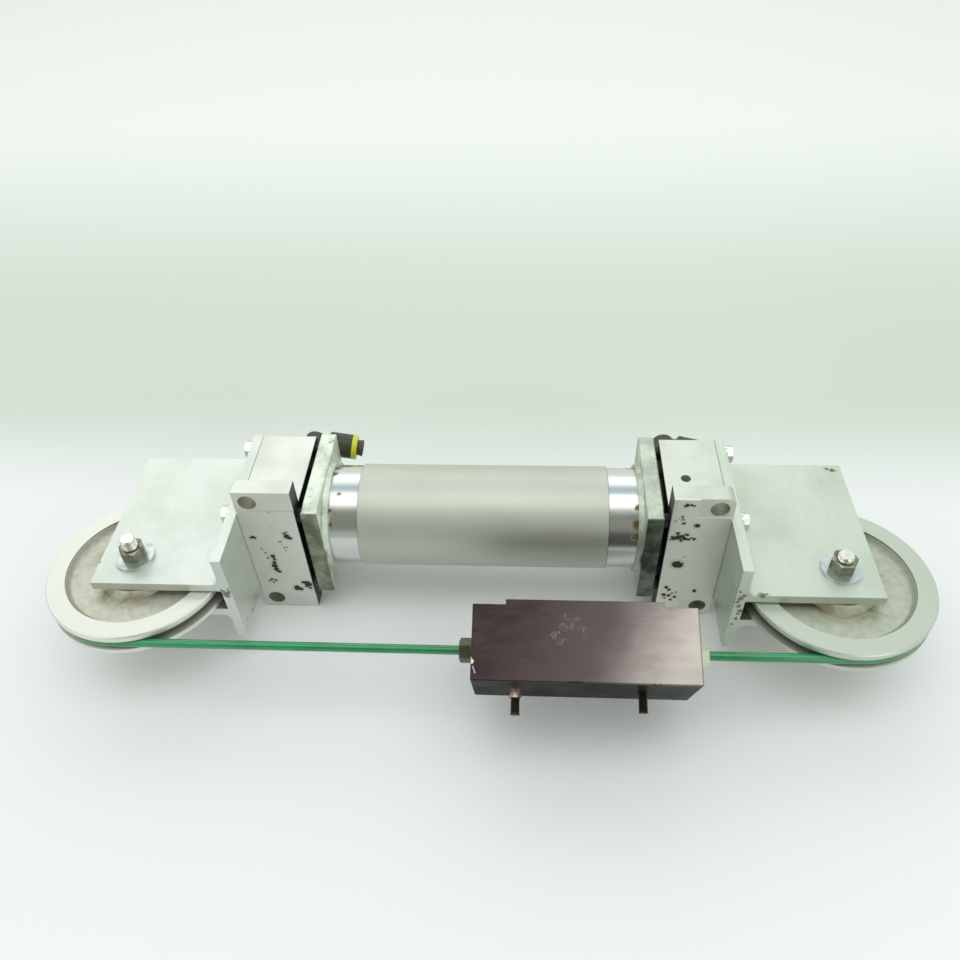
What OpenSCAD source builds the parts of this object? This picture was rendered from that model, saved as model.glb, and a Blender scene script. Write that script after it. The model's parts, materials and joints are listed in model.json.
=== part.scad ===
// Cable-type rodless pneumatic cylinder, sheaves level, carriage in front.
// +X runs along the tube, +Y points away from the carriage, +Z is up.
// The origin is on the tube's axis, halfway between the heads.

/* [Travel] */
// Travel of the piston and of the carriage
stroke = 127; // [100:0.5:400]
// Room left between the piston and each head at the end of the travel
end_room = 7.1; // [3:0.1:20]

/* [Tube] */
// Bore of the tube
bore_d = 63.5; // [58:0.1:64.5]
// Wall of the tube
tube_wall = 3.2; // [2.6:0.1:3.4]
// Length of the turned-down stretch that shows beside each head
turned_len = 19; // [8:0.5:30]
// Depth of that turning, on the radius
turned_depth = 1.1; // [0.4:0.1:1.5]
// Depth that the tube goes into each head
tube_seat = 6; // [4:0.5:7]

/* [Heads and end blocks] */
// Side of the square blocks and bracket walls
block_size = 76.2; // [75.6:0.1:84]
// How much larger the square heads are than the blocks
head_over = 1.8; // [0:0.1:3]
// Thickness of a cast head
head_t = 14; // [12:0.1:18]
// Height of the head's round boss, on the tube's side
head_boss_h = 3.2; // [1:0.1:5]
// Rounding of a head's edges
head_round = 1.2; // [0.5:0.1:3]
// Height of the pads between a head and its block
pad_h = 3; // [2:0.1:4]
// Thickness of an end block, along the tube
block_t = 38.1; // [36:0.1:46]
// Height of the mounting flange
flange_h = 114.3; // [110:0.1:130]
// Thickness of the mounting flange
flange_t = 12.7; // [10:0.1:14]
// Depth of the milled step at the flange's ends
step_depth = 0.8; // [0.4:0.1:1.5]
// Distance from the block's side to the milled step
step_gap = 2.9; // [2:0.1:4]
// Diameter of the flange's bolt holes
mount_hole_d = 11.5; // [8:0.1:12]
// Distance from the flange's ends to its bolt holes
mount_hole_edge = 8.85; // [7:0.05:10]
// Distance from a block's outer face to its flange holes
mount_hole_inset = 9.1; // [8:0.1:12]
// Corner radius on the right flange
flange_round = 5; // [2:0.5:7]
// Edge rounding of the machined pieces
edge_round = 0.7; // [0.3:0.1:1.2]
// Diameter of the tapped hole in the right block's top
top_hole_d = 6.6; // [5:0.1:8]

/* [Air ports] */
// Distance of the port from the block's inner face
port_inset = 7; // [6.6:0.1:9]
// Height of the port above the tube's axis
port_z = 19; // [18:0.1:20]
// Diameter of the tapped port
port_d = 10; // [8:0.1:10.6]
// Depth of the tapped port
port_depth = 13; // [12:0.1:14]
// Diameter of the drilled air passage
passage_d = 5; // [3:0.1:5.2]

/* [Brackets] */
// Thickness of a bracket's bolted wall
wall_t = 6.35; // [5:0.05:8]
// Thickness of the two clevis plates
plate_t = 6.35; // [5:0.05:8]
// Length of the clevis plates
plate_len = 82.9; // [80:0.1:95]
// Distance from the sheave's axle forward to the bracket's front edge
front_reach = 22; // [20:0.1:30]
// Fillet between wall and plates, outside
fillet_out = 5; // [2:0.5:6]
// Fillet between wall and plates, inside the clevis
fillet_in = 2; // [1:0.5:3]
// Distance from the block's sides to each bracket bolt
bolt_inset = 6.8; // [6.6:0.05:8]
// Diameter of the bracket bolts
bolt_d = 6.35; // [5:0.01:7]

/* [Sheaves] */
// Radius from the sheave's axle to the middle of the cable
pitch_r = 55.5; // [53.5:0.1:57]
// Height of the rim's edge above the middle of the cable
rim_rise = 3.2; // [3:0.1:4]
// Thickness of the rim and of the hub
sheave_t = 15.9; // [15.5:0.1:17]
// Depth of the rim, from its edge to the web
rim_depth = 12.2; // [10:0.1:16]
// Thickness of the web at its thinnest
web_t = 7.4; // [5:0.1:9]
// Radius of the hub
hub_r = 23.3; // [20:0.1:26]
// Distance from a bracket's wall to the sheave's axle
axle_setback = 61; // [60:0.1:66]
// Diameter of the axle bolt
axle_d = 9.525; // [8:0.005:10.5]
// Outside diameter of the sheave bearings
bearing_d = 22.2; // [21.6:0.1:26]
// Room between a sheave and each clevis plate
side_gap = 1.05; // [0.8:0.05:2]

/* [Cable and carriage] */
// Diameter of the jacketed cable
cable_d = 5.6; // [4:0.1:6]
// Length of the carriage, along the tube
carriage_len = 130; // [110:0.5:132]
// Thickness of the carriage, front to rear
carriage_t = 44.2; // [38:0.1:46]
// Height of the carriage
carriage_h = 52.4; // [46:0.1:54]
// Lean of the carriage about the cable, top face towards the front
carriage_lean = 22.5; // [0:0.5:25]
// Length of the raised pad on the carriage's rear
pad_len = 91.5; // [60:0.5:100]
// Height of that pad
pad_rise = 3.1; // [1:0.1:4]
// Distance between the two studs in the carriage's front
stud_pitch = 74.2; // [60:0.1:80]
// Offset of the studs from the middle of the carriage
stud_shift = 2.6; // [0:0.1:5]
// Diameter of the studs
stud_d = 5.5; // [4:0.1:6.4]
// Length of the left stud outside the carriage
stud_out = 15; // [10:0.1:20]

/* [Piston] */
// Length of the piston body
piston_len = 44; // [40:0.1:48]

/* [Elbow fittings] */
// Diameter of an elbow's body
elbow_d = 18.2; // [17:0.1:19]
// Diameter of the air hose that the collet takes
hose_d = 9.5; // [8:0.1:10]
// Droop of the left elbow's outlet below level
left_droop = 10; // [0:1:20]
// Droop of the right elbow's outlet below level
right_droop = 15; // [0:1:20]

/* [Hidden] */
$fn = 96;
eps = 0.01;

// clearances between mating pieces, on the radius
run_gap = 0.05;
seat_gap = 0.03;
bolt_gap = 0.25;
// clearance between faces that slide past each other
face_gap = 0.3;

spigot_len = 5;
socket_head_t = 4;

// places along the tube
head_span = stroke + piston_len + 2 * (socket_head_t + spigot_len + end_room);
x_head = head_span / 2;
x_pad = x_head + head_t;
x_block = x_pad + pad_h;
x_wall = x_block + block_t;
x_plate = x_wall + wall_t;
x_axle = x_plate + axle_setback;
x_port = x_block + port_inset;
x_mount_hole = x_wall - mount_hole_inset;

half = block_size / 2;
bolt_pitch = half - bolt_inset;
step_z = half + step_gap;
mount_hole_z = flange_h / 2 - mount_hole_edge;
y_axle = -pitch_r;
y_cable = -2 * pitch_r;
y_front = y_axle - front_reach;
plate_lo = sheave_t / 2 + side_gap;
plate_hi = plate_lo + plate_t;

// tube
bore_r = bore_d / 2;
tube_r = bore_r + tube_wall;
turned_r = tube_r - turned_depth;
tube_half = x_head + tube_seat;

// head
spigot_r = bore_r - run_gap;
ring_w = 3.2;
ring_depth = 2.3;
boss_r = 31;
head_boss_r = tube_r + 1.4;
boss_flare = 1.6;
face_ring_r = 28;
face_ring_w = 2.6;
face_ring_depth = 1.9;
pad_r = bolt_d / 2 + 1.5;
head_size = block_size + head_over;
passage_y = 15;
top_hole_shift = 4.9;
top_hole_depth = 12;
// share of the right flange's width that its milled step leaves
step_share = 0.42;
passage_z = 17.5;
bolt_r = bolt_d / 2;
bolt_bite = 8.5;

// cable and its gland
cable_r = cable_d / 2;
cable_hole_r = cable_r + 0.6;
gland_r = 10.5;
wiper_t = 3;
bush_t = 14;
seal_t = 7;
gland_depth = wiper_t + bush_t + seal_t;
wall_hole_r = gland_r - 3.5;

// bracket hardware
hex_af = 11.1;
hex_t = 4.1;
spring_t = 1.6;
spring_r = 5.9;
spring_cut = 1.4;

// axle hardware
axle_r = axle_d / 2;
washer_r = 12.7;
washer_t = 2.1;
axle_af = 14.3;
axle_nut_t = 8.3;
axle_head_t = 6;
left_axle_tail = 7.4;
right_axle_tail = 3.4;

// sheave and its bearings
sheave_r = pitch_r + rim_rise;
rim_in_r = sheave_r - rim_depth;
race_w = sheave_t / 2;
bearing_r = bearing_d / 2;
ball_ring_r = (axle_r + bearing_r) / 2;
ball_r = (bearing_r - axle_r) * 0.3;
inner_race_r = ball_ring_r - ball_r * 0.76;
outer_race_r = ball_ring_r + ball_r * 0.76;
ball_count = 9;
ball_gap = 0.04;
race_gap = 0.05;

// carriage
x_carriage = stroke / 2;
carriage_half = carriage_len / 2;
term_r = 4;
term_grip = 26;
term_af = 13;
term_nut_t = 7;
term_washer_t = 1.6;
term_washer_r = 7.1;
term_out = term_washer_t + term_nut_t;
swage_len = 22;
left_run_end = carriage_half + term_out - swage_len - x_carriage + face_gap;
right_run_end = carriage_half + term_out - swage_len + x_carriage + face_gap;
stud_grip = 12;
stud_root_r = stud_d / 2 + 0.2;
right_stud_out = stud_out - 3;
collar_r = stud_root_r + 0.7;
collar_t = 5.2;

// piston
x_piston = -stroke / 2;
piston_r = bore_r - 0.8;
piston_half = piston_len / 2;
lip_t = 6;
lip_inset = 5;
lip_r = bore_r - run_gap;
lip_root_r = 24;
wear_w = 9;
wear_t = 2.4;
socket_r = 6.5;
socket_len = 15;
socket_af = 16;
socket_floor = 4;
pull_depth = piston_half - socket_len + socket_floor + face_gap;

// elbows
elbow_r = elbow_d / 2;
stem_r = port_d / 2 - seat_gap;
stem_bore_r = 3.2;
stem_hex_af = 17;
stem_hex_t = 4;
neck_r = 6;
neck_h = 4.5;
y_elbow = half + stem_hex_t + face_gap;
outlet_rise = 11.1;
y_outlet = y_elbow + outlet_rise;
turret_r = elbow_r - 1.7;
turret_h = 16.8;
elbow_bevel = 2.6;
barrel_r = elbow_r - 0.2;
barrel_len = 27;
barrel_root_r = 6;
shoulder_x = 9;
shoulder_len = 2;
hose_r = hose_d / 2 + 0.1;
hose_grip = 17;
left_ring_len = 3.6;
right_ring_len = 6;
left_lip = 2.6;
right_lip = 7.4;
collet_r = hose_r + 0.7;
collet_lip_r = collet_r + 0.6;
collet_deep = 10;
collet_travel = 1.2;

// ---- helpers ----

// lays a shape drawn up +Z along +X, starting at the given point
module along_x(x, y = 0, z = 0) {
    translate([x, y, z]) rotate([0, 90, 0]) children();
}

// lays a shape drawn up +Z along +Y, starting at the given point
module along_y(x, y, z) {
    translate([x, y, z]) rotate([-90, 0, 0]) children();
}

module left_side() {
    mirror([1, 0, 0]) children();
}

module both_sides() {
    children();
    left_side() children();
}

module rounded_square(w, h, r) {
    square([w - 2 * r, h], center = true);
    square([w, h - 2 * r], center = true);
    for (i = [-1, 1], j = [-1, 1])
        translate([i * (w / 2 - r), j * (h / 2 - r)]) circle(r = r);
}

// box with every edge rounded, centred
module rounded_block(size, r) {
    intersection() {
        linear_extrude(height = size[2], center = true) rounded_square(size[0], size[1], r);
        rotate([90, 0, 0])
            linear_extrude(height = size[1], center = true) rounded_square(size[0], size[2], r);
        rotate([0, 90, 0])
            linear_extrude(height = size[0], center = true) rounded_square(size[2], size[1], r);
    }
}

module ring(outer, inner, h) {
    difference() {
        cylinder(r = outer, h = h);
        translate([0, 0, -1]) cylinder(r = inner, h = h + 2);
    }
}

module torus(r, section_r) {
    rotate_extrude() translate([r, 0]) circle(r = section_r, $fn = 32);
}

// hexagon with its top corners turned off, standing on its base
module hex_prism(af, h, turned = 0.9) {
    corner_r = af / sqrt(3);
    intersection() {
        cylinder(r = corner_r, h = h, $fn = 6);
        union() {
            cylinder(r = corner_r + 1, h = h - turned);
            translate([0, 0, h - turned - eps])
                cylinder(r1 = corner_r, r2 = corner_r - 2 * turned, h = turned + eps);
        }
    }
}

module at_bolts() {
    for (y = [-bolt_pitch, bolt_pitch], z = [-bolt_pitch, bolt_pitch])
        translate([0, y, z]) children();
}

// ---- cylinder ----

module tube() {
    color("silver") difference() {
        union() {
            along_x(-tube_half) cylinder(r = turned_r, h = 2 * tube_half);
            along_x(turned_len - x_head) cylinder(r = tube_r, h = 2 * (x_head - turned_len));
        }
        along_x(-tube_half - 1) cylinder(r = bore_r, h = 2 * tube_half + 2);
    }
}

module head() {
    color([0.55, 0.57, 0.53]) difference() {
        union() {
            // its front is level with the block's, and the rest stands proud
            translate([(x_head + head_boss_h + x_pad) / 2, head_over / 2, 0])
                rounded_block([head_t - head_boss_h, head_size, head_size], head_round);
            along_x(x_head) cylinder(r1 = head_boss_r, r2 = head_boss_r + boss_flare, h = head_boss_h + 1);
            along_x(x_pad - 1) cylinder(r = boss_r, h = pad_h + 1);
            at_bolts() along_x(x_pad - 1) cylinder(r = pad_r, h = pad_h + 1);
        }
        // seat of the tube, round the spigot
        along_x(x_head - 1) ring(turned_r + seat_gap, spigot_r, tube_seat + 1);
        along_x(x_block - face_ring_depth)
            ring(face_ring_r + face_ring_w / 2, face_ring_r - face_ring_w / 2, face_ring_depth + 1);
        along_x(x_head - 1) cylinder(r = cable_hole_r, h = head_t + pad_h + 2);
        along_x(x_head - 1, passage_y, passage_z) cylinder(d = passage_d, h = head_t + pad_h + 2);
        at_bolts() along_x(x_pad - bolt_bite) cylinder(r = bolt_r + seat_gap, h = bolt_bite + pad_h + 1);
    }
    // spigot that fills the end of the bore, with the seal's groove
    color([0.55, 0.57, 0.53]) difference() {
        along_x(x_head - spigot_len) cylinder(r = spigot_r, h = spigot_len + eps);
        along_x(x_head - spigot_len + 1) ring(spigot_r + 1, spigot_r - ring_depth, ring_w);
        along_x(x_head - spigot_len - 1) cylinder(r = cable_hole_r, h = spigot_len + 2);
        along_x(x_head - spigot_len - 1, passage_y, passage_z) cylinder(d = passage_d, h = spigot_len + 2);
    }
}

module tube_seal() {
    groove_mid = bore_r - (ring_depth + run_gap) / 2;
    section_r = ring_depth / 2;
    color("black") along_x(x_head - spigot_len + 1 + ring_w / 2) torus(groove_mid, section_r);
}

module face_seal() {
    color("black") along_x(x_block - face_ring_depth / 2) torus(face_ring_r, face_ring_depth / 2);
}

module end_block(rounded) {
    mid = x_block + block_t / 2;
    color([0.78, 0.79, 0.77]) difference() {
        union() {
            translate([mid, 0, 0]) rounded_block([block_t, block_size, block_size], edge_round);
            translate([mid, -half + flange_t / 2, 0])
                rounded_block([block_t, flange_t, flange_h], edge_round);
        }
        // milled steps at both ends of the flange's front
        step_from = rounded ? x_block + step_share * block_t : x_block - 1;
        for (m = [0, 1]) mirror([0, 0, m])
            translate([step_from, -half - 1, step_z]) cube([block_t + 2, step_depth + 1, flange_h]);
        // rounded outer corners of the flange
        if (rounded) for (m = [0, 1]) mirror([0, 0, m])
            translate([x_wall - flange_round, -half - 1, flange_h / 2 - flange_round]) difference() {
                cube([flange_round + 1, flange_t + 2, flange_round + 1]);
                along_y(0, -1, 0) cylinder(r = flange_round, h = flange_t + 4);
            }
        for (z = [-mount_hole_z, mount_hole_z])
            along_y(x_mount_hole, -half - 1, z) cylinder(d = mount_hole_d, h = flange_t + 2);
        at_bolts() along_x(x_block - 1) cylinder(r = bolt_r + bolt_gap, h = block_t + 2);
        // cable way and gland seat
        along_x(x_block - 1) cylinder(r = cable_hole_r, h = block_t + 2);
        along_x(x_wall - gland_depth) cylinder(r = gland_r, h = gland_depth + 1);
        // air port in the rear, and its passage to the head
        along_y(x_port, half - port_depth, port_z) cylinder(d = port_d, h = port_depth + 1);
        along_y(x_port, passage_y - passage_d / 2, port_z) cylinder(r = stem_bore_r, h = half - passage_y);
        along_x(x_block - 1, passage_y, passage_z) cylinder(d = passage_d, h = port_inset + 1);
        if (rounded) translate([mid - top_hole_shift, 0, half - top_hole_depth])
            cylinder(d = top_hole_d, h = top_hole_depth + 1);
    }
}

module gland_part(from, len, outer, inner) {
    along_x(from) ring(outer, inner, len);
}

module wiper() {
    color("darkslategray") gland_part(x_wall - wiper_t, wiper_t, gland_r - seat_gap, cable_r + run_gap);
}

module gland_bush() {
    color("peru") gland_part(x_wall - wiper_t - bush_t, bush_t, gland_r - seat_gap, cable_r + run_gap);
}

// U-section lip seal, open towards the air
module gland_seal() {
    mid_r = (gland_r + cable_r) / 2;
    color("black") along_x(x_wall - gland_depth) difference() {
        ring(gland_r - seat_gap, cable_r + run_gap, seal_t);
        translate([0, 0, -1]) ring(mid_r + 1.2, mid_r - 1.2, seal_t - 1.5);
    }
}

// ---- brackets and their bolts ----

module bracket_section() {
    module plate_and_fillets() {
        translate([wall_t - eps, plate_lo]) square([plate_len + eps, plate_t]);
        translate([wall_t - eps, plate_hi - eps]) difference() {
            square([fillet_out + eps, fillet_out + eps]);
            translate([fillet_out + eps, fillet_out + eps]) circle(r = fillet_out);
        }
        translate([wall_t - eps, plate_lo - fillet_in]) difference() {
            square([fillet_in + eps, fillet_in + eps]);
            translate([fillet_in + eps, 0]) circle(r = fillet_in, $fn = 48);
        }
    }
    translate([0, -half]) square([wall_t, block_size]);
    plate_and_fillets();
    mirror([0, 1]) plate_and_fillets();
}

module bracket() {
    depth = half - y_front;
    color([0.82, 0.84, 0.81]) difference() {
        translate([x_wall, half, 0]) rotate([90, 0, 0]) linear_extrude(height = depth) bracket_section();
        along_x(x_wall - 1) cylinder(r = wall_hole_r, h = wall_t + 2);
        at_bolts() along_x(x_wall - 1) cylinder(r = bolt_r + bolt_gap, h = wall_t + 2);
        translate([x_axle, y_axle, -plate_hi - 1]) cylinder(r = axle_r + seat_gap, h = 2 * plate_hi + 2);
    }
}

module bracket_bolts() {
    shank = spring_t + wall_t + block_t + pad_h + bolt_bite - 1;
    color("lightgray") both_sides() at_bolts() along_x(x_plate + spring_t) {
        hex_prism(hex_af, hex_t);
        translate([0, 0, -shank]) cylinder(r = bolt_r, h = shank + eps);
    }
}

module spring_washers() {
    color("gray") both_sides() at_bolts() along_x(x_plate) difference() {
        ring(spring_r, bolt_r + bolt_gap, spring_t);
        rotate([0, 0, 35]) translate([0, -spring_cut / 2, -1]) cube([spring_r + 1, spring_cut, spring_t + 2]);
    }
}

// ---- sheaves and axles ----

module at_axle() {
    translate([x_axle, y_axle, 0]) children();
}

module sheave() {
    half_t = sheave_t / 2;
    half_web = web_t / 2;
    groove_r = cable_r + 0.1;
    flare = 1.1;
    bevel = 0.8;
    dish = 2.5;
    color("gainsboro") at_axle() rotate_extrude($fn = 180) difference() {
        polygon([
            [bearing_r + seat_gap, -half_t], [hub_r - bevel, -half_t], [hub_r, -half_t + bevel],
            [hub_r + dish, -half_web], [rim_in_r - dish, -half_web], [rim_in_r, -half_web - dish],
            [rim_in_r, -half_t], [sheave_r - bevel, -half_t], [sheave_r, -half_t + bevel],
            [sheave_r, half_t - bevel], [sheave_r - bevel, half_t], [rim_in_r, half_t],
            [rim_in_r, half_web + dish], [rim_in_r - dish, half_web], [hub_r + dish, half_web],
            [hub_r, half_t - bevel], [hub_r - bevel, half_t], [bearing_r + seat_gap, half_t]
        ]);
        translate([pitch_r, 0]) circle(r = groove_r);
        polygon([
            [pitch_r, -groove_r], [sheave_r + 1, -groove_r - flare],
            [sheave_r + 1, groove_r + flare], [pitch_r, groove_r]
        ]);
    }
}

// one race in each half of the hub, its outer face level with the hub's
module two_races(outer, inner) {
    for (m = [0, 1]) mirror([0, 0, m]) translate([0, 0, race_gap]) difference() {
        ring(outer, inner, race_w - race_gap);
        translate([0, 0, race_w / 2 - race_gap]) torus(ball_ring_r, ball_r + ball_gap);
    }
}

module outer_races() {
    color("silver") at_axle() two_races(bearing_r, outer_race_r);
}

module inner_races() {
    color("silver") at_axle() two_races(inner_race_r, axle_r + seat_gap);
}

module bearing_balls() {
    color("white") at_axle() for (z = [-race_w / 2, race_w / 2], i = [0 : ball_count - 1])
        rotate([0, 0, i * 360 / ball_count]) translate([ball_ring_r, 0, z]) sphere(r = ball_r, $fn = 24);
}

module hub_spacers() {
    color("gray") both_sides() at_axle() for (m = [0, 1]) mirror([0, 0, m])
        translate([0, 0, sheave_t / 2]) ring(inner_race_r, axle_r + seat_gap, side_gap);
}

module axle_bolt(tail) {
    reach = plate_hi + washer_t;
    shank = 2 * reach + axle_nut_t + tail;
    at_axle() translate([0, 0, -reach]) {
        translate([0, 0, -1]) cylinder(r = axle_r, h = shank);
        translate([0, 0, shank - 1 - eps]) cylinder(r1 = axle_r, r2 = axle_r - 1.2, h = 1);
        rotate([180, 0, 0]) hex_prism(axle_af, axle_head_t);
    }
}

module axle_bolts() {
    color("lightgray") {
        left_side() axle_bolt(left_axle_tail);
        axle_bolt(right_axle_tail);
    }
}

module axle_washers() {
    color("silver") both_sides() at_axle() for (m = [0, 1]) mirror([0, 0, m])
        translate([0, 0, plate_hi]) ring(washer_r, axle_r + seat_gap, washer_t);
}

module axle_nuts() {
    color("lightgray") both_sides() at_axle() translate([0, 0, plate_hi + washer_t]) difference() {
        hex_prism(axle_af, axle_nut_t);
        translate([0, 0, -1]) cylinder(r = axle_r + seat_gap, h = axle_nut_t + 2);
    }
}

// ---- cable ----

module cable_wrap() {
    color("seagreen") at_axle() rotate([0, 0, -90]) rotate_extrude(angle = 180)
        translate([pitch_r, 0]) circle(r = cable_r);
}

module cable_front(from) {
    color("seagreen") along_x(from, y_cable, 0) cylinder(r = cable_r, h = x_axle - from);
}

module cable_inner(from) {
    color("seagreen") along_x(from) cylinder(r = cable_r, h = x_axle - from);
}

// ---- carriage ----

// frame of the carriage: origin on the cable, turned by the lean
module at_carriage(x = x_carriage) {
    translate([x, y_cable, 0]) rotate([carriage_lean, 0, 0]) children();
}

module carriage_block() {
    color([0.55, 0.48, 0.50]) at_carriage() difference() {
        union() {
            rounded_block([carriage_len, carriage_t, carriage_h], edge_round);
            translate([0, carriage_t / 2 + pad_rise / 2 - 1, 0])
                rounded_block([pad_len, pad_rise + 2, carriage_h], edge_round);
        }
        along_x(-carriage_half - 1) cylinder(r = term_r + seat_gap, h = carriage_len + 2);
        for (x = [-stud_pitch / 2, stud_pitch / 2])
            along_y(x - stud_shift, -carriage_t / 2 - 1, 0)
                cylinder(r = stud_root_r + seat_gap, h = stud_grip + 1);
    }
}

// threaded end swaged on the cable: sits in the block and carries the nut
module terminal(m) {
    color("darkgray") translate([x_carriage, y_cable, 0]) mirror([m, 0, 0])
        along_x(carriage_half - term_grip) difference() {
            cylinder(r = term_r, h = term_grip + term_out);
            translate([0, 0, term_grip + term_out - swage_len])
                cylinder(r = cable_r + seat_gap, h = swage_len + 1);
        }
}

// places a shape drawn up +Z outward on both ends of the carriage
module at_carriage_ends(out) {
    for (m = [0, 1]) translate([x_carriage, y_cable, 0]) mirror([m, 0, 0])
        along_x(carriage_half + out) children();
}

module terminal_washers() {
    color("gray") at_carriage_ends(0) ring(term_washer_r, term_r + seat_gap, term_washer_t);
}

module terminal_nuts() {
    color("khaki") at_carriage_ends(term_washer_t) rotate([0, 0, 12]) difference() {
        hex_prism(term_af, term_nut_t);
        translate([0, 0, -1]) cylinder(r = term_r + seat_gap, h = term_nut_t + 2);
    }
}

// stud with a thicker root, which ends the given distance outside the block
module carriage_stud(x, out, root_out) {
    at_carriage() along_y(x - stud_shift, -carriage_t / 2 - out, 0) {
        cylinder(r = stud_d / 2, h = out);
        translate([0, 0, out - root_out]) cylinder(r = stud_root_r, h = root_out + stud_grip - 0.5);
    }
}

module carriage_studs() {
    color("silver") {
        carriage_stud(-stud_pitch / 2, stud_out, collar_t);
        carriage_stud(stud_pitch / 2, right_stud_out, 0);
    }
}

module stud_collar() {
    color("gainsboro") at_carriage() along_y(-stud_pitch / 2 - stud_shift, -carriage_t / 2 - collar_t, 0)
        ring(collar_r, stud_root_r + seat_gap, collar_t);
}

// ---- piston ----

module piston() {
    color("silver") along_x(x_piston - piston_half) difference() {
        cylinder(r = piston_r, h = piston_len);
        for (z = [lip_inset, piston_len - lip_inset - lip_t])
            translate([0, 0, z]) ring(bore_r + 1, lip_root_r, lip_t);
        translate([0, 0, piston_half - wear_w / 2]) ring(bore_r + 1, bore_r - wear_t, wear_w);
        translate([0, 0, -1]) cylinder(r = socket_r + seat_gap, h = socket_len + 1);
        translate([0, 0, piston_len - socket_len]) cylinder(r = socket_r + seat_gap, h = socket_len + 1);
    }
}

// lip seal with a flared groove, open to its own side
module piston_seal(m) {
    color("black") translate([x_piston, 0, 0]) mirror([m, 0, 0])
        along_x(piston_half - lip_inset - lip_t + run_gap) difference() {
            ring(lip_r, lip_root_r + run_gap, lip_t - 2 * run_gap);
            translate([0, 0, 2]) ring((lip_r + lip_root_r) / 2 + 1.6, (lip_r + lip_root_r) / 2 - 1.6, lip_t);
        }
}

module wear_ring() {
    color("sienna") along_x(x_piston - wear_w / 2 + run_gap)
        ring(bore_r - run_gap, bore_r - wear_t + run_gap, wear_w - 2 * run_gap);
}

// swaged end of the cable, screwed into the piston
module cable_socket(m) {
    color("darkgray") translate([x_piston, 0, 0]) mirror([m, 0, 0])
        along_x(piston_half - socket_len) difference() {
            union() {
                cylinder(r = socket_r, h = socket_len + eps);
                translate([0, 0, socket_len]) hex_prism(socket_af, socket_head_t);
            }
            translate([0, 0, socket_floor])
                cylinder(r = cable_r + seat_gap, h = socket_len + socket_head_t);
        }
}

// ---- elbow fittings ----

// frame of a port: origin on the block's rear face, +Z out of the block
module at_port(x) {
    along_y(x, half, port_z) children();
}

// frame of an outlet: origin where its axis crosses the stem's, +Z out of the outlet
module at_outlet(x, droop) {
    translate([x, y_outlet, port_z]) rotate([0, 90 + droop, 0]) children();
}

module elbow_stem(x) {
    color("lightgray") at_port(x) difference() {
        union() {
            translate([0, 0, 0.5 - port_depth]) cylinder(r = stem_r, h = port_depth);
            hex_prism(stem_hex_af, stem_hex_t, 0.6);
            cylinder(r = neck_r, h = stem_hex_t + neck_h);
        }
        translate([0, 0, -port_depth]) cylinder(r = stem_bore_r, h = port_depth + stem_hex_t + neck_h + 1);
    }
}

module elbow(x, droop) {
    color([0.1, 0.1, 0.1]) difference() {
        union() {
            along_y(x, y_elbow, port_z) {
                cylinder(r = turret_r, h = turret_h - elbow_bevel);
                translate([0, 0, turret_h - elbow_bevel - eps])
                    cylinder(r1 = turret_r, r2 = turret_r - elbow_bevel, h = elbow_bevel);
            }
            at_outlet(x, droop) {
                cylinder(r = barrel_root_r, h = barrel_len);
                translate([0, 0, shoulder_x])
                    cylinder(r1 = barrel_root_r, r2 = barrel_r, h = shoulder_len + eps);
                translate([0, 0, shoulder_x + shoulder_len])
                    cylinder(r = barrel_r, h = barrel_len - shoulder_x - shoulder_len);
            }
        }
        along_y(x, y_elbow - 1, port_z) cylinder(r = neck_r + run_gap, h = 1 + neck_h - face_gap + 0.2);
        along_y(x, y_elbow, port_z) cylinder(r = stem_bore_r, h = outlet_rise);
        at_outlet(x, droop) {
            cylinder(r = stem_bore_r - 0.4, h = barrel_len);
            translate([0, 0, barrel_len - hose_grip]) cylinder(r = hose_r, h = hose_grip + 1);
            translate([0, 0, barrel_len - collet_deep - collet_travel - face_gap])
                cylinder(r = collet_r + run_gap, h = collet_deep + 5);
        }
    }
}

module release_ring(x, droop, len) {
    color("yellowgreen") at_outlet(x, droop) translate([0, 0, barrel_len])
        ring(barrel_r, collet_r + run_gap, len);
}

// collet that grips the hose; pushed in, it lets the hose go
module collet(x, droop, ring_len, lip) {
    lip_z = barrel_len + ring_len + collet_travel + face_gap;
    color([0.12, 0.12, 0.12]) at_outlet(x, droop) difference() {
        union() {
            translate([0, 0, barrel_len - collet_deep])
                cylinder(r = collet_r, h = lip_z - barrel_len + collet_deep + 1);
            translate([0, 0, lip_z]) cylinder(r1 = collet_r, r2 = collet_lip_r, h = lip);
        }
        translate([0, 0, barrel_len - collet_deep - 1]) cylinder(r = hose_r, h = lip_z + lip);
    }
}

// ---- left and right sub-parts ----

module left_head() left_side() head();
module right_head() head();
module left_tube_seal() left_side() tube_seal();
module right_tube_seal() tube_seal();
module left_face_seal() left_side() face_seal();
module right_face_seal() face_seal();
module left_end_block() left_side() end_block(false);
module right_end_block() end_block(true);
module left_bracket() left_side() bracket();
module right_bracket() bracket();
module left_gland_bush() left_side() gland_bush();
module right_gland_bush() gland_bush();
module left_gland_seal() left_side() gland_seal();
module right_gland_seal() gland_seal();
module left_wiper() left_side() wiper();
module right_wiper() wiper();
module left_inner_races() left_side() inner_races();
module right_inner_races() inner_races();
module left_sheave() left_side() sheave();
module right_sheave() sheave();
module left_outer_races() left_side() outer_races();
module right_outer_races() outer_races();
module left_bearing_balls() left_side() bearing_balls();
module right_bearing_balls() bearing_balls();
module left_cable_wrap() left_side() cable_wrap();
module right_cable_wrap() cable_wrap();
module left_cable_front() left_side() cable_front(left_run_end);
module right_cable_front() cable_front(right_run_end);
module left_cable_inner() left_side() cable_inner(pull_depth - x_piston);
module right_cable_inner() cable_inner(pull_depth + x_piston);
module left_terminal() terminal(1);
module right_terminal() terminal(0);
module left_piston_seal() piston_seal(1);
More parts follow.
